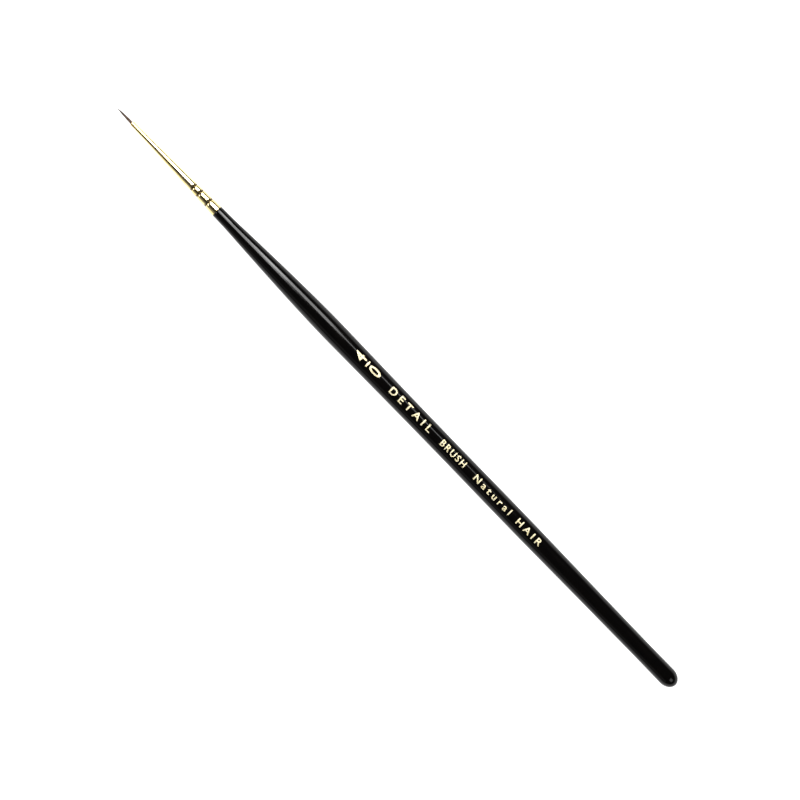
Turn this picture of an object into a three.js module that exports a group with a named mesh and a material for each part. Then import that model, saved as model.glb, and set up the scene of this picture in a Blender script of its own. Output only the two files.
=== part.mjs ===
// A fine detail brush for model making: a slim lacquered wooden handle, a seamless gilt brass ferrule
// crimped on to the handle's tenon, and a pointed tuft of sable hairs. The tuft's roots are bound with
// thread, set in resin and held inside the ferrule. The brush lies on a flat surface.
// Millimetres. +X runs along the brush from the hair tip to the butt, +Z is up. The origin is on the
// surface that the brush lies on, under the middle of its length.
import * as THREE from "three";

// Lengths along the brush
const HANDLE_LENGTH = 141.1; // from the end of the ferrule to the butt
const FERRULE_LENGTH = 26.2;
const HAIR_LENGTH = 4.7; // the longest hair, outside the ferrule
const TENON_LENGTH = 9.6; // the part of the handle inside the ferrule
const ROOT_LENGTH = 10.5; // the part of the hairs inside the ferrule

// Radii of the handle
const BELLY_RADIUS = 2.43;
const BELLY_AT = 35; // where the belly is widest
const SHOULDER_RADIUS = 1.32; // where the handle meets the ferrule
const BUTT_RADIUS = 2.04;
const BUTT_ROUND = 2.7; // the length over which the butt rounds off
const SWELL_STEPS = 11; // rings of points up to the belly
const SLIM_STEPS = 14; // rings of points behind it
const BUTT_STEPS = 7;

// Ferrule
const FERRULE_WALL = 0.2;
const MOUTH_RADIUS = 0.56;
const FERRULE_END_RADIUS = 1.338;
const MOUTH_LIP = 0.05; // the rounding of the mouth's edge
const CRIMPS = [-7.15, -5.3, -2.6]; // from the ferrule's end, towards the hairs
const CRIMP_DEPTH = 0.15;
const CRIMP_HALF_WIDTH = 0.3;
const CRIMP_SHAPE = [-0.5, -0.25, 0, 0.25, 0.5]; // places of the rings of points that shape a crimp
const CRIMPED_FROM = -8.1;
const CONE_STEPS = 6; // rings of points between the mouth and the crimped end

// Cement, resin and thread inside the ferrule
const FIT_GAP = 0.02; // between pieces that touch
const CEMENT_FILM = 0.09;
const CEMENT_BEAD = 0.5; // cement squeezed out ahead of the tenon
const RESIN_FRONT = 1.5; // how far the resin reaches over the tied roots
const RESIN_BACK = 1.0; // how far it reaches behind them
const THREAD_RADIUS = 0.035;
const THREAD_TURNS = 4;
const THREAD_PITCH = 0.09;
const THREAD_FROM_ROOT_END = 1.0;
const THREAD_STEPS = 14; // in one turn
const THREAD_SEGMENTS = 3;

// Hairs: one in the middle and three rings round it, packed as closely as round hairs go
const HAIR_RADIUS = 0.045;
const HAIR_SPACING = 0.093;
const HAIR_SIDES = 6;
const HAIR_STATIONS = [0, 0.35, 0.65, 0.87]; // rings of points along a hair, as parts of its length
const HAIR_FULLNESS = 4; // how long a hair stays thick before it tapers to its tip
const TUFT_FULLNESS = 2; // how long the tuft stays full before it draws to its point
const RINGS = [
  { name: "middle", reach: 1 },
  { name: "inner", reach: 0.985 },
  { name: "second", reach: 0.96 },
  { name: "outer", reach: 0.93 },
];

// The lathed pieces have flat facets, one of them straight down, so the brush rests without rolling
const SIDES = 20;
const FLAT_TO_CORNER = 1 / Math.cos(Math.PI / SIDES);

// Curves of radii reach a little past the piece, and are sampled this often between their points
const CURVE_OVERHANG = 0.01;
const CURVE_SAMPLES = 40;

// Places along the brush, from the ferrule's end: the handle is at +x, the ferrule and hairs at -x
const MOUTH_X = -FERRULE_LENGTH;
const ROOT_END_X = MOUTH_X + ROOT_LENGTH;
const MIDDLE_X = (HANDLE_LENGTH - FERRULE_LENGTH - HAIR_LENGTH) / 2;

const LACQUER = new THREE.MeshStandardMaterial({ color: 0x0d0c0c, roughness: 0.18, metalness: 0 });
const GILT = new THREE.MeshStandardMaterial({ color: 0xe6c98a, roughness: 0.14, metalness: 1 });
const CEMENT = new THREE.MeshStandardMaterial({ color: 0xd9cfae, roughness: 0.5, metalness: 0 });
const RESIN = new THREE.MeshStandardMaterial({ color: 0xc9913c, roughness: 0.25, metalness: 0 });
const THREAD = new THREE.MeshStandardMaterial({ color: 0xe9e4d6, roughness: 0.9, metalness: 0 });
const SABLE = new THREE.MeshStandardMaterial({ color: 0x5d4330, roughness: 0.45, metalness: 0 });

// A point of a profile: its distance from the axis, measured to the flat of a facet, and its place along x
function at(x, radius) {
  return new THREE.Vector2(radius * FLAT_TO_CORNER, x);
}

// A solid of revolution about the X axis, from a profile that runs towards +x on the outside
function turned(profile, sides = SIDES) {
  return new THREE.LatheGeometry(profile, sides, Math.PI / sides).rotateZ(-Math.PI / 2);
}

function piece(name, geometry, material) {
  const mesh = new THREE.Mesh(geometry, material.clone());
  mesh.name = name;
  return mesh;
}

// Evenly spaced values from first to last, with both ends
function spread(first, last, steps) {
  return Array.from({ length: steps + 1 }, (_, i) => first + ((last - first) * i) / steps);
}

// A smooth curve through (x, radius) points gives the radius at any x between them
function radiusAlong(points) {
  const curve = new THREE.CatmullRomCurve3(
    points.map(([x, radius]) => new THREE.Vector3(x, radius, 0)),
    false,
    "centripetal",
  );
  const samples = curve.getPoints((points.length - 1) * CURVE_SAMPLES);
  return (x) => {
    const after = Math.max(1, samples.findIndex((p) => p.x >= x));
    const [a, b] = [samples[after - 1], samples[after]];
    return THREE.MathUtils.mapLinear(x, a.x, b.x, a.y, b.y);
  };
}

// The tube before it is crimped: nearly straight at the mouth, then an even taper up to the handle
const tubeRadius = radiusAlong([
  [MOUTH_X - CURVE_OVERHANG, MOUTH_RADIUS],
  [-20, 0.655],
  [-13, 0.855],
  [CRIMPED_FROM, 1.02],
  [CURVE_OVERHANG, FERRULE_END_RADIUS],
]);

// The crimped tube: each crimp is a smooth groove pressed all the way round
function ferruleRadius(x) {
  const pressed = CRIMPS.map((crimp) => Math.exp(-(((x - crimp) / CRIMP_HALF_WIDTH) ** 2)));
  return tubeRadius(x) - CRIMP_DEPTH * pressed.reduce((sum, groove) => sum + groove, 0);
}

// The cone has few rings and the crimped end has many
function ferruleStations(first, last) {
  const cone = spread(MOUTH_X, CRIMPED_FROM, CONE_STEPS);
  const crimped = CRIMPS.flatMap((crimp) => CRIMP_SHAPE.map((offset) => crimp + offset));
  const between = [...cone, ...crimped].filter((x) => x > first && x < last);
  return [first, ...between, last];
}

// Points on the ferrule's inner wall, or a stated distance in from it
function insideFerrule(first, last, inset) {
  return ferruleStations(first, last).map((x) => at(x, ferruleRadius(x) - FERRULE_WALL - inset));
}

function ferrule() {
  const inside = insideFerrule(MOUTH_X, 0, 0).reverse();
  const innerEdge = inside[inside.length - 1];
  const lip = at(MOUTH_X, MOUTH_RADIUS - MOUTH_LIP);
  const outside = ferruleStations(MOUTH_X + MOUTH_LIP, 0).map((x) => at(x, ferruleRadius(x)));
  return piece("ferrule", turned([innerEdge, lip, ...outside, ...inside]), GILT);
}

// The handle swells to a belly a quarter of the way along, then draws in slowly to a slightly fuller butt
const handleRadius = radiusAlong([
  [0, SHOULDER_RADIUS],
  [3.2, 1.37],
  [10, 1.67],
  [18.6, 2.03],
  [27.2, 2.31],
  [BELLY_AT, BELLY_RADIUS],
  [44.3, 2.36],
  [57.2, 2.26],
  [70, 2.215],
  [93, 2.262],
  [108, 2.15],
  [121.6, 2.06],
  [133, 2.01],
  [HANDLE_LENGTH - BUTT_ROUND, BUTT_RADIUS],
]);

function handle() {
  const tenon = insideFerrule(-TENON_LENGTH, -FIT_GAP, CEMENT_FILM + 2 * FIT_GAP);
  const shoulder = FIT_GAP;
  const swell = spread(shoulder, BELLY_AT, SWELL_STEPS);
  const slim = spread(BELLY_AT, HANDLE_LENGTH - BUTT_ROUND, SLIM_STEPS).slice(1);
  const butt = spread(0, Math.PI / 2, BUTT_STEPS).slice(1);
  const profile = [
    at(-TENON_LENGTH, 0),
    ...tenon,
    at(shoulder, ferruleRadius(0) - FERRULE_WALL - CEMENT_FILM - 2 * FIT_GAP),
    ...[...swell, ...slim].map((x) => at(x, handleRadius(x))),
    ...butt.map((turn) =>
      at(HANDLE_LENGTH - BUTT_ROUND * (1 - Math.sin(turn)), BUTT_RADIUS * Math.cos(turn)),
    ),
  ];
  profile[profile.length - 1].x = 0;
  return piece("handle", turned(profile), LACQUER);
}

// Cement fills the gap round the tenon and makes a bead across its end
function handleCement() {
  const bead = -TENON_LENGTH - CEMENT_BEAD;
  const face = -TENON_LENGTH - FIT_GAP;
  const profile = [
    at(bead, 0),
    ...insideFerrule(bead, -CEMENT_FILM, FIT_GAP),
    ...insideFerrule(face, -CEMENT_FILM, FIT_GAP + CEMENT_FILM).reverse(),
    at(face, 0),
  ];
  return piece("handle_cement", turned(profile), CEMENT);
}

// The radius that holds every hair at the mouth
const BUNDLE_RADIUS = (RINGS.length - 1) * HAIR_SPACING + HAIR_RADIUS;

function hairRoots() {
  const profile = [
    at(MOUTH_X, 0),
    at(MOUTH_X, BUNDLE_RADIUS),
    at(ROOT_END_X, BUNDLE_RADIUS),
    at(ROOT_END_X, 0),
  ];
  return piece("hair_roots", turned(profile), SABLE);
}

class Winding extends THREE.Curve {
  getPoint(part, target = new THREE.Vector3()) {
    const angle = part * THREAD_TURNS * 2 * Math.PI;
    const radius = BUNDLE_RADIUS * FLAT_TO_CORNER + FIT_GAP + THREAD_RADIUS;
    const x = ROOT_END_X - THREAD_FROM_ROOT_END + part * THREAD_TURNS * THREAD_PITCH;
    return target.set(x, radius * Math.cos(angle), radius * Math.sin(angle));
  }
}

function bindingThread() {
  const section = new THREE.Shape().absarc(0, 0, THREAD_RADIUS, 0, 2 * Math.PI);
  const geometry = new THREE.ExtrudeGeometry(section, {
    extrudePath: new Winding(),
    steps: THREAD_TURNS * THREAD_STEPS,
    curveSegments: THREAD_SEGMENTS,
  });
  return piece("binding_thread", geometry, THREAD);
}

// The resin is a cup over the tied end of the roots
function settingResin() {
  const front = ROOT_END_X - RESIN_FRONT;
  const back = ROOT_END_X + RESIN_BACK;
  const floor = ROOT_END_X + FIT_GAP;
  const bore = BUNDLE_RADIUS * FLAT_TO_CORNER + 2 * THREAD_RADIUS + 2 * FIT_GAP;
  const profile = [
    at(floor, 0),
    at(floor, bore),
    at(front, bore),
    ...insideFerrule(front, back, FIT_GAP),
    at(back, 0),
  ];
  return piece("setting_resin", turned(profile), RESIN);
}

// How wide the tuft is, as a part of its width at the mouth, at a part of the way to its point
function tuftTaper(along) {
  return 1 - Math.max(along, 0) ** TUFT_FULLNESS;
}

// A hair is a thin cone that leans in with its neighbours, so the tuft draws to one point
function hair(name, y, z, reach) {
  const length = HAIR_LENGTH * reach - FIT_GAP;
  const root = MOUTH_X - FIT_GAP;
  const stations = HAIR_STATIONS.map((part) => ({
    x: root - part * length,
    radius: HAIR_RADIUS * tuftTaper(part * reach) * (1 - part ** HAIR_FULLNESS),
  }));
  const profile = [
    new THREE.Vector2(0, root - length),
    ...stations.reverse().map(({ x, radius }) => new THREE.Vector2(radius, x)),
    new THREE.Vector2(0, root),
  ];
  const geometry = turned(profile, HAIR_SIDES);
  const points = geometry.getAttribute("position");
  for (let i = 0; i < points.count; i += 1) {
    const lean = tuftTaper((root - points.getX(i)) / HAIR_LENGTH);
    points.setXYZ(i, points.getX(i), points.getY(i) + y * lean, points.getZ(i) + z * lean);
  }
  return piece(name, geometry, SABLE);
}

// The places of a ring's hairs, round a hexagon with as many hairs on a side as the ring's number
function ringPlaces(ring) {
  if (ring === 0) {
    return [[0, 0]];
  }
  const corner = (i) => [Math.cos((i * Math.PI) / 3), Math.sin((i * Math.PI) / 3)];
  return Array.from({ length: 6 * ring }, (_, i) => {
    const side = Math.floor(i / ring);
    const part = (i % ring) / ring;
    const [a, b] = [corner(side), corner(side + 1)];
    const reach = ring * HAIR_SPACING;
    return a.map((value, axis) => reach * THREE.MathUtils.lerp(value, b[axis], part));
  });
}

function hairs() {
  return RINGS.flatMap(({ name, reach }, ring) =>
    ringPlaces(ring).map(([y, z], i) => {
      const number = String(i + 1).padStart(2, "0");
      return hair(ring === 0 ? "hair_middle" : `hair_${name}_${number}`, y, z, reach);
    }),
  );
}

const brush = new THREE.Group();
brush.position.set(-MIDDLE_X, 0, BELLY_RADIUS);
brush.add(handle(), handleCement(), ferrule(), settingResin(), bindingThread(), hairRoots(), ...hairs());

export default brush;
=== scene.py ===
"""A fine detail brush lying on a white table.

Gloss black handle, polished gilt ferrule and a pointed sable tuft.
"""

import math

import bpy
import numpy as np
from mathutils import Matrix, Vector


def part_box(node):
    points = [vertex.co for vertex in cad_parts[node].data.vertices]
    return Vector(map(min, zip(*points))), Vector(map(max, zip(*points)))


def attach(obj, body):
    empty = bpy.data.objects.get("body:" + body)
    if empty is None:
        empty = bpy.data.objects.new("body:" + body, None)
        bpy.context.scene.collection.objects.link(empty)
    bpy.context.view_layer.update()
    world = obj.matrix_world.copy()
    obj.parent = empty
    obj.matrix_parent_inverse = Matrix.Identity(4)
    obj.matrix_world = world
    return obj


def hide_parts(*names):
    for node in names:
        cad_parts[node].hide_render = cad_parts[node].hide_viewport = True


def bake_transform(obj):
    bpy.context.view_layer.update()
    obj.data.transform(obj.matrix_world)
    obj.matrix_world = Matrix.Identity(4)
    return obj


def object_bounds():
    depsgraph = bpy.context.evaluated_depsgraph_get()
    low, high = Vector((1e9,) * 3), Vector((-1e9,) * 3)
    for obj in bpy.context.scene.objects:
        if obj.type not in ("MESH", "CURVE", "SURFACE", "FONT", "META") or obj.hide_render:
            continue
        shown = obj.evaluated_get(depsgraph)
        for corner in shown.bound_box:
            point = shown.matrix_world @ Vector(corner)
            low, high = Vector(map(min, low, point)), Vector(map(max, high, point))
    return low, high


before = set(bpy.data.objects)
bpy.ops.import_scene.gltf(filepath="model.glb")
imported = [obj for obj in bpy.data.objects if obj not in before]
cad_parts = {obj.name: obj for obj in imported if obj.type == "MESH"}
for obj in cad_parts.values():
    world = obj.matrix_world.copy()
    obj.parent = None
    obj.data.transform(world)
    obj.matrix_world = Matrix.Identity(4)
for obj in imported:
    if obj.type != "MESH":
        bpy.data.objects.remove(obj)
CAD_LOW, CAD_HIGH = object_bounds()

MM = 0.001
BODY, TUFT = "brush", "tuft"

# Places along the brush, from the frame. The hairs are at low x and the butt at high x.
AXIS_Z = (CAD_LOW.z + CAD_HIGH.z) / 2
HAIR_TIP, BUTT = CAD_LOW.x, CAD_HIGH.x
MOUTH, FERRULE_END = (corner.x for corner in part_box("ferrule"))
ROOT_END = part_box("hair_roots")[1].x

CAD_SIDES = 20
TURNED_SIDES = 96
SHARP_ANGLE = math.radians(50)  # edges sharper than this aren't smoothed over
CHUCK = 1 * MM  # the lathe's own radius, taken off again once a piece is turned
HANDLE_RING_GAP, FERRULE_RING_GAP = 1 * MM, 0.06 * MM
BORE_EVERY = 4  # the bore has one ring for so many outside
BUTT_RINGS = 24
BUTT_ROUND = 2.7 * MM  # the length over which the butt rounds off
EDGE = 0.04 * MM  # rounding of the ferrule's and the shoulder's edges

# The tuft: hairs packed in hexagons round a middle one, then drawn to a point
HAIR_RINGS = 5
HAIR_GAP = 1.03  # from one hair's middle to the next, in hair thicknesses
TUFT_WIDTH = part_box("hair_roots")[1].y * 2
HAIR_THICKNESS = TUFT_WIDTH / (2 * HAIR_RINGS * HAIR_GAP + 1)
TUFT_FULLNESS = 2.2
SHORTEST_HAIR = 0.9  # of the free length
HAIR_STEPS = 60  # close enough together for a smooth bend at the ferrule's mouth
HAIR_SIDES = 7
HAIR_WANDER = 0.12 * MM
HAIR_SEED = 4

# The foil stamping: a size mark across the brush, then three words along it. Places are from
# the ferrule's end, and across is from the middle of the top.
FOIL_SUNK, FOIL_PROUD = 0.006 * MM, 0.008 * MM
FOIL_BOLDNESS = 0.022  # how far a letter's edge is pushed out, in letter sizes
DIGIT_WIDTH, DIGIT_ACROSS = 1.55 * MM, 0.46 * MM
STAMPED_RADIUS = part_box("handle")[1].y

# Camera, for a frame of 800 by 800: the brush lies across it, seen from straight above
IMAGE_WIDTH = 171.25 * MM  # what the frame spans at the brush
CAMERA_TURN = math.radians(45.95)
CAMERA_SHIFT = Vector((1.165, 0.035)) * MM  # from the brush's middle to the frame's middle
LENS, SENSOR = 135, 36


# ---------------------------------------------------------------- nodes


def colour(hex_code):
    """An sRGB hex colour as linear RGBA."""
    parts = [int(hex_code[i : i + 2], 16) / 255 for i in (1, 3, 5)]
    linear = [c / 12.92 if c <= 0.04045 else ((c + 0.055) / 1.055) ** 2.4 for c in parts]
    return (*linear, 1)


def add(tree, kind, inputs=None, **settings):
    """Adds a node. inputs maps a socket's name or number to a value or to the socket that feeds it."""
    node = tree.nodes.new(kind)
    for name, value in settings.items():
        setattr(node, name, value)
    for name, value in (inputs or {}).items():
        if isinstance(value, bpy.types.NodeSocket):
            tree.links.new(value, node.inputs[name])
        else:
            node.inputs[name].default_value = value
    return node


def geometry_tree(name, sockets):
    """An empty Geometry Nodes tree with these named inputs, and the node that brings them in."""
    tree = bpy.data.node_groups.new(name, "GeometryNodeTree")
    tree.interface.new_socket("Geometry", in_out="INPUT", socket_type="NodeSocketGeometry")
    for socket, kind in sockets.items():
        tree.interface.new_socket(socket, in_out="INPUT", socket_type="NodeSocket" + kind)
    tree.interface.new_socket("Geometry", in_out="OUTPUT", socket_type="NodeSocketGeometry")
    return tree, tree.nodes.new("NodeGroupInput").outputs


def finish_tree(tree, geometry, material):
    """Every tree ends by making its instances real and giving them their material."""
    real = add(tree, "GeometryNodeRealizeInstances", {"Geometry": geometry})
    dressed = add(tree, "GeometryNodeSetMaterial", {"Geometry": real.outputs[0], "Material": material})
    add(tree, "NodeGroupOutput", {"Geometry": dressed.outputs[0]})


def piece_from(tree, name, base, **values):
    """A plain mesh object from what a tree makes of the base mesh. values are the tree's inputs by name."""
    holder = bpy.data.objects.new(name + ".base", base)
    bpy.context.scene.collection.objects.link(holder)
    modifier = holder.modifiers.new("shape", "NODES")
    modifier.node_group = tree
    wanted = {key.replace("_", " "): value for key, value in values.items()}
    for item in tree.interface.items_tree:
        if item.in_out == "INPUT" and item.name in wanted:
            modifier[item.identifier] = wanted[item.name]
    holder.update_tag()
    bpy.context.view_layer.update()
    evaluated = holder.evaluated_get(bpy.context.evaluated_depsgraph_get())
    mesh = bpy.data.meshes.new_from_object(evaluated)
    mesh.name = name
    bpy.data.objects.remove(holder)
    piece = bpy.data.objects.new(name, mesh)
    bpy.context.scene.collection.objects.link(piece)
    return piece


def chain(points, closed=False, **attributes):
    """A mesh of points joined in a row, each attribute holding one value for each point."""
    mesh = bpy.data.meshes.new("chain")
    edges = [(i, i + 1) for i in range(len(points) - 1)]
    if closed:
        edges.append((len(points) - 1, 0))
    mesh.from_pydata(points, edges, [])
    for name, values in attributes.items():
        mesh.attributes.new(name, "FLOAT", "POINT").data.foreach_set("value", values)
    return mesh


# ---------------------------------------------------------------- materials


def new_material(name):
    material = bpy.data.materials.new(name)
    material.use_nodes = True
    material.node_tree.nodes.clear()
    return material, material.node_tree


def finish_material(tree, inputs):
    shader = add(tree, "ShaderNodeBsdfPrincipled", inputs)
    add(tree, "ShaderNodeOutputMaterial", {"Surface": shader.outputs[0]})


def noise(tree, size, detail=2.0):
    """Noise whose blotches are this many metres along x, y and z."""
    place = add(tree, "ShaderNodeTexCoord")
    scaled = add(
        tree, "ShaderNodeMapping", {"Vector": place.outputs["Object"], "Scale": [1 / s for s in size]}
    )
    return add(
        tree, "ShaderNodeTexNoise", {"Vector": scaled.outputs[0], "Scale": 1.0, "Detail": detail}
    ).outputs["Fac"]


def spread(tree, value, from_low, from_high, to_low, to_high):
    return add(
        tree,
        "ShaderNodeMapRange",
        {
            "Value": value,
            "From Min": from_low,
            "From Max": from_high,
            "To Min": to_low,
            "To Max": to_high,
        },
    ).outputs[0]


def blend_colours(tree, factor, first, second):
    mix = add(tree, "ShaderNodeMix", {0: factor}, data_type="RGBA")
    for socket, value in ((6, first), (7, second)):
        if isinstance(value, bpy.types.NodeSocket):
            tree.links.new(value, mix.inputs[socket])
        else:
            mix.inputs[socket].default_value = colour(value)
    return mix.outputs[2]


def bump(tree, height, depth, under=None):
    inputs = {"Height": height, "Distance": depth}
    if under:
        inputs["Normal"] = under
    return add(tree, "ShaderNodeBump", inputs).outputs[0]


def attribute(tree, name):
    return add(tree, "ShaderNodeAttribute", attribute_name=name).outputs["Fac"]


def black_lacquer():
    """Dipped gloss nitrocellulose lacquer over turned birch: it looks wet and deep black, its
    highlights waver over a slight orange peel, and the grain's long pores just show through.
    The tenon is left bare, where its fibres look pale and dull."""
    material, tree = new_material("gloss black lacquer on birch")
    grain = noise(tree, (6 * MM, 0.25 * MM, 0.25 * MM), 4.0)
    peel = noise(tree, (1.4 * MM,) * 3)
    handling = noise(tree, (5 * MM, 1.5 * MM, 1.5 * MM), 5.0)
    bare = attribute(tree, "bare_wood")
    birch = blend_colours(tree, grain, "#c9a877", "#ead2a6")
    black = blend_colours(tree, spread(tree, handling, 0.35, 0.7, 0.0, 1.0), "#0b0a0a", "#100e0d")
    gloss = spread(tree, handling, 0.35, 0.75, 0.07, 0.13)
    dull = add(tree, "ShaderNodeMix", {0: bare, 2: gloss, 3: 0.65}).outputs[0]
    pores = bump(tree, grain, 0.002 * MM)
    finish_material(
        tree,
        {
            "Base Color": blend_colours(tree, bare, black, birch),
            "Roughness": dull,
            "IOR": 1.38,
            "Normal": bump(tree, peel, 0.004 * MM, pores),
        },
    )
    return material


def gilt_brass():
    """Drawn and polished brass with a gold flash plating: it looks warm and bright and mirrors its
    surroundings through fine polishing lines. Painted shade turns the bottoms of the crimps dark brown, and
    their gloss is duller."""
    material, tree = new_material("polished gold-plated brass")
    # The real polishing lines are about 0.01 mm apart, too fine to show: these are 0.06 mm.
    lines = noise(tree, (0.06 * MM, 1.2 * MM, 1.2 * MM), 3.0)
    drawn = noise(tree, (9 * MM, 0.12 * MM, 0.12 * MM), 3.0)
    patches = noise(tree, (1.6 * MM,) * 3, 4.0)
    # painted shade: the deeper a crimp, the more its colour is darkened to brown, standing in for the shade
    # that falls in it
    painted_crimp_shade = attribute(tree, "crimp_depth")
    gold = blend_colours(tree, spread(tree, patches, 0.35, 0.7, 0.0, 1.0), "#f8e9b8", "#f1dc9f")
    worn = add(tree, "ShaderNodeMath", {0: lines, 1: 0.08, 2: 0.14}, operation="MULTIPLY_ADD")
    dull = add(tree, "ShaderNodeMix", {0: painted_crimp_shade, 2: worn.outputs[0], 3: 0.35}).outputs[0]
    finish_material(
        tree,
        {
            "Base Color": blend_colours(tree, painted_crimp_shade, gold, "#3a2710"),
            "Metallic": 1.0,
            "Roughness": dull,
            "Normal": bump(tree, lines, 0.0012 * MM, bump(tree, drawn, 0.002 * MM)),
        },
    )
    return material


def sable_hair():
    """Natural sable guard hair: reddish brown by the ferrule and nearly black at the tips, each
    hair a little different, with the soft shine of overlapping scales."""
    material, tree = new_material("natural sable hair")
    drawn = attribute(tree, "drawn")
    shade = attribute(tree, "shade")
    scales = noise(tree, (0.05 * MM, 0.02 * MM, 0.02 * MM))
    light = blend_colours(tree, drawn, "#7a5a40", "#3d2a1e")
    dark = blend_colours(tree, drawn, "#4a3728", "#241a12")
    finish_material(
        tree,
        {
            "Base Color": blend_colours(tree, shade, dark, light),
            "Roughness": spread(tree, scales, 0.3, 0.7, 0.32, 0.46),
            "IOR": 1.55,
            "Normal": bump(tree, scales, 0.001 * MM),
            "Sheen Weight": 0.15,
        },
    )
    return material


def stamped_foil():
    """Pale gold foil hot-stamped into the lacquer: a soft metallic ink look, broken by pinholes
    and rubbed thin where the fingers hold the brush."""
    material, tree = new_material("pale gold stamping foil")
    pinholes = spread(tree, noise(tree, (0.09 * MM,) * 3, 4.0), 0.62, 0.7, 0.0, 1.0)
    rubbed = noise(tree, (0.5 * MM, 0.3 * MM, 0.3 * MM), 3.0)
    metal = blend_colours(tree, spread(tree, rubbed, 0.3, 0.7, 0.0, 1.0), "#f4ecd0", "#dccf9f")
    finish_material(
        tree,
        {
            "Base Color": blend_colours(tree, pinholes, metal, "#3a352a"),
            "Metallic": 0.25,
            "Roughness": spread(tree, rubbed, 0.3, 0.7, 0.38, 0.55),
            "Normal": bump(tree, rubbed, 0.003 * MM),
        },
    )
    return material


def set_cement():
    """Two-part ferrule cement, set: a cream filled plastic with a slightly grainy, dull skin."""
    material, tree = new_material("set two-part cement")
    grains = noise(tree, (0.15 * MM,) * 3, 5.0)
    finish_material(
        tree,
        {
            "Base Color": blend_colours(tree, grains, "#c5b68a", "#dccfa6"),
            "Roughness": spread(tree, grains, 0.3, 0.7, 0.45, 0.62),
            "Normal": bump(tree, grains, 0.01 * MM),
        },
    )
    return material


def setting_resin():
    """Cast amber epoxy: glossy and honey coloured, cloudier where bubbles were caught."""
    material, tree = new_material("cast amber epoxy")
    clouds = noise(tree, (0.4 * MM,) * 3, 3.0)
    finish_material(
        tree,
        {
            "Base Color": blend_colours(tree, clouds, "#9c5c18", "#c98a3a"),
            "Roughness": spread(tree, clouds, 0.3, 0.7, 0.12, 0.24),
            "Normal": bump(tree, clouds, 0.004 * MM),
            "IOR": 1.55,
        },
    )
    return material


def waxed_thread():
    """Waxed linen thread: off-white, matt, its two twisted strands showing as slanting ribs."""
    material, tree = new_material("waxed linen thread")
    place = add(tree, "ShaderNodeTexCoord")
    strands = add(
        tree,
        "ShaderNodeTexWave",
        {"Vector": place.outputs["Object"], "Scale": 1 / (0.07 * MM) / 20, "Distortion": 0.6},
        bands_direction="DIAGONAL",
    )
    ribs = strands.outputs["Fac"]
    finish_material(
        tree,
        {
            "Base Color": blend_colours(tree, ribs, "#b9b09a", "#e9e3d2"),
            "Roughness": spread(tree, ribs, 0.0, 1.0, 0.7, 0.85),
            "Normal": bump(tree, ribs, 0.01 * MM),
            "Sheen Weight": 0.2,
        },
    )
    return material


def glowing_table():
    """Opal acrylic lit from below, as a product photographer's table is: white, with hardly a shadow."""
    material, tree = new_material("opal acrylic table")
    frosting = noise(tree, (2 * MM,) * 3)
    finish_material(
        tree,
        {
            "Base Color": colour("#9a9a9a"),
            "Roughness": spread(tree, frosting, 0.3, 0.7, 0.6, 0.7),
            "Specular IOR Level": 0.2,
            "Emission Color": colour("#ffffff"),
            "Emission Strength": TABLE_GLOW,
        },
    )
    return material


# ---------------------------------------------------------------- turned pieces


def lathe_tree():
    """Turns an outline, drawn as (place along the brush, radius), about the brush's axis."""
    tree, given = geometry_tree(
        "turned on a lathe",
        {"Sides": "Int", "Chuck": "Float", "Axis height": "Float", "Finish": "Material"},
    )
    place = add(tree, "GeometryNodeInputPosition")
    split = add(tree, "ShaderNodeSeparateXYZ", {0: place.outputs[0]})
    outward = add(tree, "ShaderNodeMath", {0: split.outputs["Y"], 1: given["Chuck"]}, operation="SUBTRACT")
    back = add(tree, "ShaderNodeMath", {0: split.outputs["X"], 1: -1.0}, operation="MULTIPLY")
    drawn = add(tree, "ShaderNodeCombineXYZ", {"X": outward.outputs[0], "Y": back.outputs[0]})
    outline = add(
        tree,
        "GeometryNodeSetPosition",
        {"Geometry": given["Geometry"], "Position": drawn.outputs[0]},
    )
    curve = add(tree, "GeometryNodeMeshToCurve", {"Mesh": outline.outputs[0]})
    round_path = add(
        tree,
        "GeometryNodeCurvePrimitiveCircle",
        {"Resolution": given["Sides"], "Radius": given["Chuck"]},
    )
    swept = add(
        tree,
        "GeometryNodeCurveToMesh",
        {"Curve": round_path.outputs["Curve"], "Profile Curve": curve.outputs[0]},
    )
    height = add(tree, "ShaderNodeCombineXYZ", {"Z": given["Axis height"]})
    laid = add(
        tree,
        "GeometryNodeTransform",
        {
            "Geometry": swept.outputs[0],
            "Translation": height.outputs[0],
            "Rotation": (0, math.pi / 2, 0),
        },
    )
    closed = add(
        tree, "GeometryNodeMergeByDistance", {"Geometry": laid.outputs[0], "Distance": 0.0005 * MM}
    )
    outwards = add(tree, "GeometryNodeFlipFaces", {"Mesh": closed.outputs[0]})
    smooth = add(tree, "GeometryNodeSetShadeSmooth", {"Geometry": outwards.outputs[0]})
    finish_tree(tree, smooth.outputs[0], given["Finish"])
    return tree


def rings(node):
    """The rings of a turned CAD piece as rows of (place along the brush, radius to the flats)."""
    points = np.array([v.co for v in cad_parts[node].data.vertices])
    radius = np.hypot(points[:, 1], points[:, 2] - AXIS_Z) * math.cos(math.pi / CAD_SIDES)
    return np.unique(np.round(np.column_stack((points[:, 0], radius)), 7), axis=0)


def edge_rings(rows, pick):
    """One row for each place, the widest or the narrowest."""
    return np.array([pick(rows[rows[:, 0] == x], axis=0) for x in np.unique(rows[:, 0])])


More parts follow.
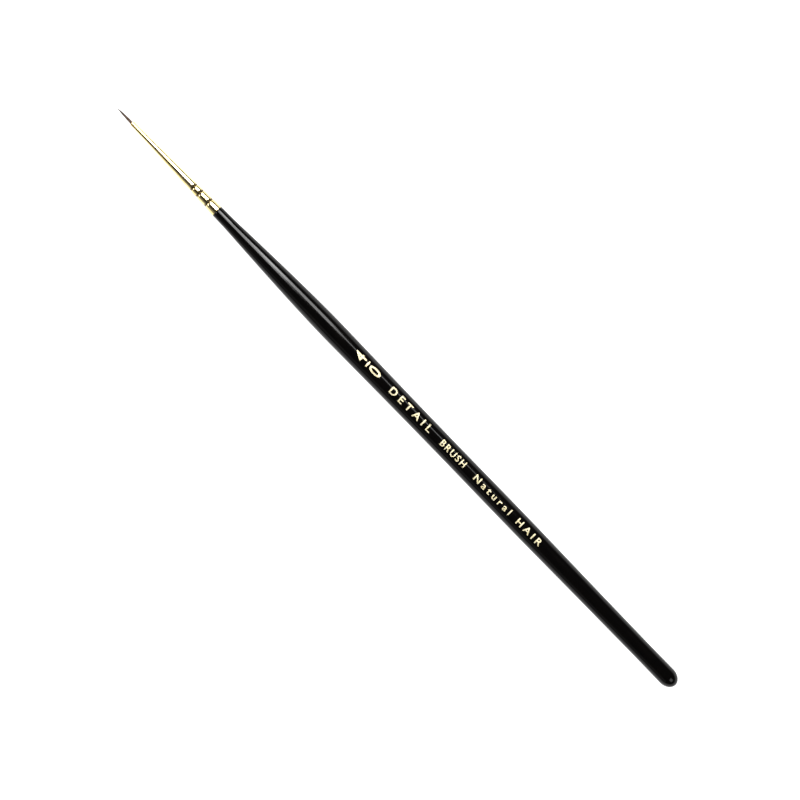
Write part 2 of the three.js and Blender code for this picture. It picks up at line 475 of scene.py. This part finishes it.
def smoothly(places, known):
    """Radii at these places, on a smooth curve through the known rows that never overshoots them."""
    x, r = known[:, 0], known[:, 1]
    rise = np.diff(r) / np.diff(x)
    same_way = rise[1:] * rise[:-1] > 0
    total = np.where(same_way, rise[1:] + rise[:-1], 1)
    inner = np.where(same_way, 2 * rise[1:] * rise[:-1] / total, 0)
    slope = np.concatenate((rise[:1], inner, rise[-1:]))
    i = np.clip(np.searchsorted(x, places) - 1, 0, len(x) - 2)
    width = x[i + 1] - x[i]
    t = np.clip((places - x[i]) / width, 0, 1)
    ends = r[i] * (1 + 2 * t) * (1 - t) ** 2 + r[i + 1] * t**2 * (3 - 2 * t)
    leans = slope[i] * t * (1 - t) ** 2 - slope[i + 1] * t**2 * (1 - t)
    return ends + leans * width


def outline_points(places, radii):
    return [(float(x), float(r), 0.0) for x, r in zip(places, radii)]


def turned(name, points, finish, closed=False, **attributes):
    piece = piece_from(
        LATHE,
        name,
        chain(points, closed, **attributes),
        Sides=TURNED_SIDES,
        Chuck=CHUCK,
        Axis_height=AXIS_Z,
        Finish=finish,
    )
    piece.data.set_sharp_from_angle(angle=SHARP_ANGLE)
    return piece


def make_handle():
    """Tenon, shoulder, belly, slim back and round butt, in one piece of turned wood."""
    rows = rings("handle")
    widest = edge_rings(rows, np.max)
    surface = widest[(widest[:, 0] > FERRULE_END) & (widest[:, 0] <= BUTT - BUTT_ROUND + EDGE)]
    shoulder, shoulder_radius = surface[0]
    tenon = rows[(rows[:, 0] <= shoulder) & (rows[:, 1] < shoulder_radius - EDGE)]
    evenly = np.arange(shoulder + HANDLE_RING_GAP / 2, surface[-1, 0], HANDLE_RING_GAP)
    places = np.concatenate(([shoulder + EDGE], evenly))
    turn = np.linspace(0, math.pi / 2, BUTT_RINGS)
    points = [
        *outline_points(tenon[:, 0], tenon[:, 1]),
        (shoulder, shoulder_radius - EDGE, 0.0),
        *outline_points(places, smoothly(places, surface)),
        *outline_points(BUTT - BUTT_ROUND * (1 - np.sin(turn)), surface[-1, 1] * np.cos(turn)),
    ]
    bare = [1.0] * len(tenon) + [0.0] * (len(points) - len(tenon))
    return turned("handle_lacquered", points, black_lacquer(), bare_wood=bare)


def make_ferrule():
    """A thin tapered tube with a rounded mouth and three rolled crimps."""
    rows = rings("ferrule")
    outer = edge_rings(rows, np.max)
    outer = outer[outer[:, 0] > MOUTH + EDGE / 2]
    narrowest = edge_rings(rows, np.min)
    bore = narrowest[narrowest[:, 1] < smoothly(narrowest[:, 0], outer) - EDGE]
    places = np.arange(MOUTH + 2 * EDGE, FERRULE_END - EDGE, FERRULE_RING_GAP)
    radii = smoothly(places, outer)
    inside_places = places[::BORE_EVERY]
    inside = smoothly(inside_places, bore)
    before = [
        (MOUTH + EDGE, float(inside[0]), 0.0),
        (MOUTH, float(inside[0]) + EDGE, 0.0),
        (MOUTH, float(radii[0]) - EDGE, 0.0),
        (MOUTH + EDGE / 3, float(radii[0]) - EDGE / 3, 0.0),
    ]
    after = [
        (FERRULE_END - EDGE / 3, float(radii[-1]) - EDGE / 3, 0.0),
        (FERRULE_END, float(radii[-1]) - EDGE, 0.0),
        (FERRULE_END, float(inside[-1]) + EDGE / 2, 0.0),
    ]
    deep = np.maximum.accumulate(radii) - radii
    depth = deep / deep.max()
    points = [
        *before,
        *outline_points(places, radii),
        *after,
        *outline_points(inside_places[::-1], inside[::-1]),
    ]
    # the crimp depth of each outside ring, used as the mask of the painted shade in the crimps
    painted_crimp_shade = [0.0] * len(before) + [float(d) for d in depth] + [0.0] * (len(after) + len(inside))
    return turned("ferrule_polished", points, gilt_brass(), closed=True, crimp_depth=painted_crimp_shade)


# ---------------------------------------------------------------- the tuft


def hair_tree():
    """Stands a hair on every point, from its root to its own tip, and draws them together."""
    tree, given = geometry_tree(
        "hairs drawn to a point",
        {
            "Root end": "Float",
            "Mouth": "Float",
            "Tip": "Float",
            "Axis height": "Float",
            "Hair radius": "Float",
            "Fullness": "Float",
            "Wander": "Float",
            "Steps": "Int",
            "Sides": "Int",
            "Finish": "Material",
        },
    )

    def math_node(operation, first, second=0.0, clamp=False):
        return add(
            tree, "ShaderNodeMath", {0: first, 1: second}, operation=operation, use_clamp=clamp
        ).outputs[0]

    line = add(tree, "GeometryNodeCurvePrimitiveLine", {"Start": (0, 0, 0), "End": (1 * MM, 0, 0)})
    steps = add(
        tree, "GeometryNodeResampleCurve", {"Curve": line.outputs[0], "Count": given["Steps"]}
    )
    planted = add(
        tree,
        "GeometryNodeInstanceOnPoints",
        {"Points": given["Geometry"], "Instance": steps.outputs[0]},
    )
    real = add(tree, "GeometryNodeRealizeInstances", {"Geometry": planted.outputs[0]})

    # Steps crowd towards the tip, where the hair bends most.
    factor = add(tree, "GeometryNodeSplineParameter").outputs["Factor"]
    rest = math_node("SUBTRACT", 1.0, factor)
    along = math_node("SUBTRACT", 1.0, math_node("MULTIPLY", rest, rest))
    own_tip = add(tree, "GeometryNodeInputNamedAttribute", {"Name": "own_tip"}).outputs[0]
    length = math_node("SUBTRACT", own_tip, given["Root end"])
    x = math_node("ADD", given["Root end"], math_node("MULTIPLY", along, length))
    free = math_node(
        "DIVIDE",
        math_node("SUBTRACT", given["Mouth"], x),
        math_node("SUBTRACT", given["Mouth"], given["Tip"]),
        clamp=True,
    )
    squeeze = math_node("SUBTRACT", 1.0, math_node("POWER", free, given["Fullness"]))

    root = add(tree, "GeometryNodeInputPosition").outputs[0]
    root_parts = add(tree, "ShaderNodeSeparateXYZ", {0: root})
    y = math_node("MULTIPLY", root_parts.outputs["Y"], squeeze)
    z = math_node("MULTIPLY", root_parts.outputs["Z"], squeeze)
    drawn_in = add(
        tree, "ShaderNodeCombineXYZ", {"X": x, "Y": y, "Z": math_node("ADD", z, given["Axis height"])}
    )

    # Every hair wavers on its own: the noise is looked up far apart for each root.
    own_place = add(
        tree, "ShaderNodeVectorMath", {0: root, 1: (0, 40 / MM, 40 / MM)}, operation="MULTIPLY"
    )
    travelled = add(tree, "ShaderNodeCombineXYZ", {"X": math_node("MULTIPLY", x, 0.5 / MM)})
    looked_up = add(tree, "ShaderNodeVectorMath", {0: own_place.outputs[0], 1: travelled.outputs[0]})
    waver = add(tree, "ShaderNodeTexNoise", {"Vector": looked_up.outputs[0], "Scale": 1.0, "Detail": 1.0})
    centred = add(
        tree,
        "ShaderNodeVectorMath",
        {0: waver.outputs["Color"], 1: (0.5, 0.5, 0.5)},
        operation="SUBTRACT",
    )
    amount = math_node("MULTIPLY", math_node("MULTIPLY", free, squeeze), given["Wander"])
    offset = add(tree, "ShaderNodeVectorMath", {0: centred.outputs[0], "Scale": amount}, operation="SCALE")

    kept = add(
        tree,
        "GeometryNodeStoreNamedAttribute",
        {"Geometry": real.outputs[0], "Name": "drawn", "Value": free},
        domain="POINT",
    )
    bent = add(
        tree,
        "GeometryNodeSetPosition",
        {
            "Geometry": kept.outputs[0],
            "Position": drawn_in.outputs[0],
            "Offset": offset.outputs[0],
        },
    )
    kept_free = add(tree, "GeometryNodeInputNamedAttribute", {"Name": "drawn"}).outputs[0]
    taper = math_node("SUBTRACT", 1.0, math_node("MULTIPLY", math_node("POWER", kept_free, 1.5), 0.7))
    section = add(
        tree, "GeometryNodeCurvePrimitiveCircle", {"Resolution": given["Sides"], "Radius": 1.0}
    )
    skin = add(
        tree,
        "GeometryNodeCurveToMesh",
        {
            "Curve": bent.outputs[0],
            "Profile Curve": section.outputs["Curve"],
            "Scale": math_node("MULTIPLY", taper, given["Hair radius"]),
            "Fill Caps": True,
        },
    )
    smooth = add(tree, "GeometryNodeSetShadeSmooth", {"Geometry": skin.outputs[0]})
    finish_tree(tree, smooth.outputs[0], given["Finish"])
    return tree


def hair_roots():
    """Where the hairs stand in the ferrule: rings of hexagons round a middle hair."""
    pitch = HAIR_THICKNESS * HAIR_GAP
    draw = np.random.default_rng(HAIR_SEED)
    roots, tips, shades = [], [], []
    for row in range(-HAIR_RINGS, HAIR_RINGS + 1):
        for column in range(max(-HAIR_RINGS, -HAIR_RINGS - row), min(HAIR_RINGS, HAIR_RINGS - row) + 1):
            ring = max(abs(row), abs(column), abs(row + column))
            shortness = (1 - SHORTEST_HAIR) * ring / HAIR_RINGS * draw.uniform(0.4, 1)
            roots.append((0.0, pitch * (column + row / 2), pitch * row * math.sqrt(3) / 2))
            tips.append(HAIR_TIP + shortness * (MOUTH - HAIR_TIP))
            shades.append(draw.uniform(0, 1))
    mesh = bpy.data.meshes.new("hair roots")
    mesh.from_pydata(roots, [], [])
    mesh.attributes.new("own_tip", "FLOAT", "POINT").data.foreach_set("value", tips)
    mesh.attributes.new("shade", "FLOAT", "POINT").data.foreach_set("value", shades)
    return mesh


def make_tuft():
    return piece_from(
        hair_tree(),
        "sable_hairs",
        hair_roots(),
        Root_end=ROOT_END,
        Mouth=MOUTH,
        Tip=HAIR_TIP,
        Axis_height=AXIS_Z,
        Hair_radius=HAIR_THICKNESS / 2,
        Fullness=TUFT_FULLNESS,
        Wander=HAIR_WANDER,
        Steps=HAIR_STEPS,
        Sides=HAIR_SIDES,
        Finish=sable_hair(),
    )


# ---------------------------------------------------------------- foil stamping


def foil_tree():
    """Sets words to a given length and height, lays them round the handle and gives them a thickness."""
    tree, given = geometry_tree(
        "foil stamped on the handle",
        {
            "Words": "String",
            "Length": "Float",
            "Height": "Float",
            "Letter spacing": "Float",
            "Boldness": "Float",
            "Turn": "Float",
            "Place": "Vector",
            "Radius": "Float",
            "Axis height": "Float",
            "Sunk": "Float",
            "Proud": "Float",
            "Finish": "Material",
        },
    )

    def vector_node(operation, first, second=(0, 0, 0)):
        return add(tree, "ShaderNodeVectorMath", {0: first, 1: second}, operation=operation).outputs[0]

    def math_node(operation, first, second=0.0):
        return add(tree, "ShaderNodeMath", {0: first, 1: second}, operation=operation).outputs[0]

    letters = add(
        tree,
        "GeometryNodeStringToCurves",
        {"String": given["Words"], "Size": 1.0, "Character Spacing": given["Letter spacing"]},
    )
    drawn = add(tree, "GeometryNodeRealizeInstances", {"Geometry": letters.outputs["Curve Instances"]})
    rounded = add(tree, "GeometryNodeSetSplineResolution", {"Geometry": drawn.outputs[0], "Resolution": 4})
    pointed = add(
        tree, "GeometryNodeResampleCurve", {"Curve": rounded.outputs[0]}, mode="EVALUATED"
    )
    fine = add(tree, "GeometryNodeSubdivideCurve", {"Curve": pointed.outputs[0], "Cuts": 4})
    outwards = add(tree, "GeometryNodeInputNormal").outputs[0]
    grown = vector_node("SCALE", outwards)
    tree.links.new(given["Boldness"], grown.node.inputs["Scale"])
    bold = add(tree, "GeometryNodeSetPosition", {"Geometry": fine.outputs[0], "Offset": grown})
    outlines = add(tree, "GeometryNodeFillCurve", {"Curve": bold.outputs[0]}, mode="TRIANGLES")
    tidy = add(
        tree, "GeometryNodeMergeByDistance", {"Geometry": outlines.outputs[0], "Distance": 0.004}
    )
    filled = add(tree, "GeometryNodeSubdivideMesh", {"Mesh": tidy.outputs[0], "Level": 1})

    # Stretched to exactly the length and height asked for, about the middle of the words
    box = add(tree, "GeometryNodeBoundBox", {"Geometry": filled.outputs[0]})
    size = vector_node("SUBTRACT", box.outputs["Max"], box.outputs["Min"])
    middle = vector_node("SCALE", vector_node("ADD", box.outputs["Max"], box.outputs["Min"]))
    middle.node.inputs["Scale"].default_value = 0.5
    wanted = add(tree, "ShaderNodeCombineXYZ", {"X": given["Length"], "Y": given["Height"], "Z": 0.0})
    place = add(tree, "GeometryNodeInputPosition").outputs[0]
    unit = vector_node("DIVIDE", vector_node("SUBTRACT", place, middle), size)
    sized = vector_node("MULTIPLY", unit, wanted.outputs[0])
    turned_round = add(
        tree, "ShaderNodeVectorRotate", {"Vector": sized, "Angle": given["Turn"]}, rotation_type="Z_AXIS"
    )
    put = vector_node("ADD", turned_round.outputs[0], given["Place"])
    flat = add(
        tree, "GeometryNodeSetPosition", {"Geometry": filled.outputs[0], "Position": put}
    ).outputs[0]

    thickness = math_node("ADD", given["Sunk"], given["Proud"])
    up = add(tree, "ShaderNodeCombineXYZ", {"Z": 1.0}).outputs[0]
    raised = add(
        tree,
        "GeometryNodeExtrudeMesh",
        {"Mesh": flat, "Offset": up, "Offset Scale": thickness, "Individual": False},
    )
    under = add(tree, "GeometryNodeFlipFaces", {"Mesh": flat})
    both = add(tree, "GeometryNodeJoinGeometry")
    tree.links.new(raised.outputs["Mesh"], both.inputs[0])
    tree.links.new(under.outputs[0], both.inputs[0])
    solid = add(
        tree, "GeometryNodeMergeByDistance", {"Geometry": both.outputs[0], "Distance": 0.001 * MM}
    ).outputs[0]

    # Across the flat words becomes round the handle, and up becomes outwards.
    parts = add(tree, "ShaderNodeSeparateXYZ", {0: place})
    angle = math_node("DIVIDE", parts.outputs["Y"], given["Radius"])
    outward = add(
        tree, "ShaderNodeCombineXYZ", {"Y": math_node("SINE", angle), "Z": math_node("COSINE", angle)}
    ).outputs[0]
    axis = add(
        tree, "ShaderNodeCombineXYZ", {"X": parts.outputs["X"], "Z": given["Axis height"]}
    ).outputs[0]
    found = add(
        tree,
        "GeometryNodeRaycast",
        {
            "Target Geometry": given["Geometry"],
            "Source Position": axis,
            "Ray Direction": outward,
            "Ray Length": 1.0,
        },
    )
    lift = vector_node("SCALE", outward)
    tree.links.new(math_node("SUBTRACT", parts.outputs["Z"], given["Sunk"]), lift.node.inputs["Scale"])
    wrapped = add(
        tree,
        "GeometryNodeSetPosition",
        {"Geometry": solid, "Position": vector_node("ADD", found.outputs["Hit Position"], lift)},
    )
    finish_tree(tree, wrapped.outputs[0], given["Finish"])
    return tree


def stamp(words, start, length, height, across, turn=0.0, spacing=1.3):
    """Words from this far behind the ferrule's end. turn=1 stands them across, tops to the hairs."""
    along = height if turn else length
    return piece_from(
        FOIL,
        "foil",
        handle.data.copy(),
        Words=words,
        Length=length,
        Height=height,
        Letter_spacing=spacing,
        Boldness=FOIL_BOLDNESS,
        Turn=turn * math.pi / 2,
        Place=(FERRULE_END + start + along / 2, across, 0.0),
        Radius=STAMPED_RADIUS,
        Axis_height=AXIS_Z,
        Sunk=FOIL_SUNK,
        Proud=FOIL_PROUD,
        Finish=FOIL_FINISH,
    )


def joined(name, pieces):
    """One object from several, with its place in its mesh."""
    with bpy.context.temp_override(active_object=pieces[0], selected_editable_objects=pieces):
        bpy.ops.object.join()
    pieces[0].name = name
    pieces[0].data.name = name
    return pieces[0]


def make_size_mark():
    """A generic brush size, four over nought, with the bar between them."""
    return joined(
        "foil_size_mark",
        [
            stamp("4", 42.2 * MM, DIGIT_WIDTH, 3.1 * MM, DIGIT_ACROSS, 1),
            stamp("I", 45.75 * MM, 0.45 * MM, DIGIT_WIDTH, DIGIT_ACROSS),
            stamp("0", 46.6 * MM, DIGIT_WIDTH, 3.2 * MM, DIGIT_ACROSS, 1),
        ],
    )


def make_words():
    """Plain words that say what the tool is."""
    return joined(
        "foil_words",
        [
            stamp("DETAIL", 53.2 * MM, 12.4 * MM, 1.85 * MM, 0.32 * MM, spacing=1.6),
            stamp("BRUSH", 68.8 * MM, 7.2 * MM, 1.75 * MM, 0.28 * MM),
            stamp("Natural HAIR", 79.1 * MM, 20.2 * MM, 1.7 * MM, 0.22 * MM, spacing=1.5),
        ],
    )


# ---------------------------------------------------------------- stage

TABLE_GLOW = 0.85
TABLE_SPAN = 16
HORIZON_GLOW, CEILING_GLOW = 0.9, 0.03
HORIZON_TOP, CEILING_FROM = 0.03, 0.2  # heights in the sky, with 1 straight up
KEY_X, WING_X = -0.28, -0.1  # along the brush, towards the hairs


def aim(thing, place, target):
    thing.location = place
    thing.rotation_euler = (Vector(target) - Vector(place)).to_track_quat("-Z", "Y").to_euler()


def soft_light(name, place, target, size, radiance):
    """A rectangular softbox. radiance is how bright it looks, with 1 for white."""
    data = bpy.data.lights.new(name, "AREA")
    data.shape = "RECTANGLE"
    data.size, data.size_y = size
    data.energy = radiance * math.pi * size[0] * size[1]
    light = bpy.data.objects.new(name, data)
    light.visible_camera = False
    bpy.context.scene.collection.objects.link(light)
    aim(light, place, target)


def across_the_brush(distance, degrees, x):
    """A place this far from the brush's axis, so many degrees from straight above it towards +Y."""
    turn = math.radians(degrees)
    return (x, distance * math.sin(turn), distance * math.cos(turn))


def make_stage():
    half = TABLE_SPAN / 2
    mesh = bpy.data.meshes.new("table")
    mesh.from_pydata(
        [(-half, -half, 0), (half, -half, 0), (half, half, 0), (-half, half, 0)], [], [(0, 1, 2, 3)]
    )
    mesh.materials.append(glowing_table())
    table = bpy.data.objects.new("table", mesh)
    bpy.context.scene.collection.objects.link(table)


def make_lights():
    for name, distance, degrees, x, size, radiance in (
        ("key", 0.75, 25.5, KEY_X, (0.3, 0.56), 8.8),
        ("key wing", 0.75, 37, WING_X, (0.12, 0.38), 7.5),
        ("edge strip", 0.75, 36, 0, (0.1, 0.13), 5),
        ("low card", 0.8, -63, 0, (0.8, 0.3), 0.3),
    ):
        soft_light(name, across_the_brush(distance, degrees, x), (x, 0, 0), size, radiance)
    soft_light("butt lamp", (0.85, 0.06, 0.75), (0.08, 0, 0), (0.6, 0.5), 2.2)
    for across in (-1, 1):
        soft_light("corner lamp", (-0.75, across * 0.65, 0.75), (0, 0, 0), (0.3, 0.3), 11)


def make_world():
    """A pale horizon under a dim ceiling."""
    world = bpy.data.worlds.new("studio")
    world.use_nodes = True
    tree = world.node_tree
    tree.nodes.clear()
    direction = add(tree, "ShaderNodeTexCoord")
    height = add(tree, "ShaderNodeSeparateXYZ", {0: direction.outputs["Generated"]})
    strength = spread(
        tree, height.outputs["Z"], HORIZON_TOP, CEILING_FROM, HORIZON_GLOW, CEILING_GLOW
    )
    background = add(tree, "ShaderNodeBackground", {"Color": colour("#ffffff"), "Strength": strength})
    add(tree, "ShaderNodeOutputWorld", {"Surface": background.outputs[0]})
    bpy.context.scene.world = world


def make_camera():
    data = bpy.data.cameras.new("camera")
    data.lens, data.sensor_width = LENS, SENSOR
    data.clip_start, data.clip_end = 0.01, 30
    camera = bpy.data.objects.new("camera", data)
    bpy.context.scene.collection.objects.link(camera)
    distance = IMAGE_WIDTH * LENS / SENSOR
    camera.location = (CAMERA_SHIFT.x, CAMERA_SHIFT.y, AXIS_Z + distance)
    camera.rotation_euler = (0, 0, CAMERA_TURN)
    bpy.context.scene.camera = camera


# ---------------------------------------------------------------- the brush

make_camera()
make_stage()
make_lights()
make_world()
bpy.context.scene.view_settings.view_transform = "Standard"
bpy.context.scene.view_settings.look = "Medium High Contrast"

LATHE = lathe_tree()
handle = make_handle()
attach(handle, BODY)
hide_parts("handle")

ferrule = make_ferrule()
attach(ferrule, BODY)
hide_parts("ferrule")

tuft = make_tuft()
hair_nodes = [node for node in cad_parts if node.startswith("hair_")]
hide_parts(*hair_nodes)
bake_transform(tuft)

FOIL, FOIL_FINISH = foil_tree(), stamped_foil()
for foil in (make_size_mark(), make_words()):
    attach(foil, BODY)

inside = {
    "handle_cement": set_cement(),
    "setting_resin": setting_resin(),
    "binding_thread": waxed_thread(),
}
for node, finish in inside.items():
    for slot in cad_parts[node].material_slots:
        slot.material = finish
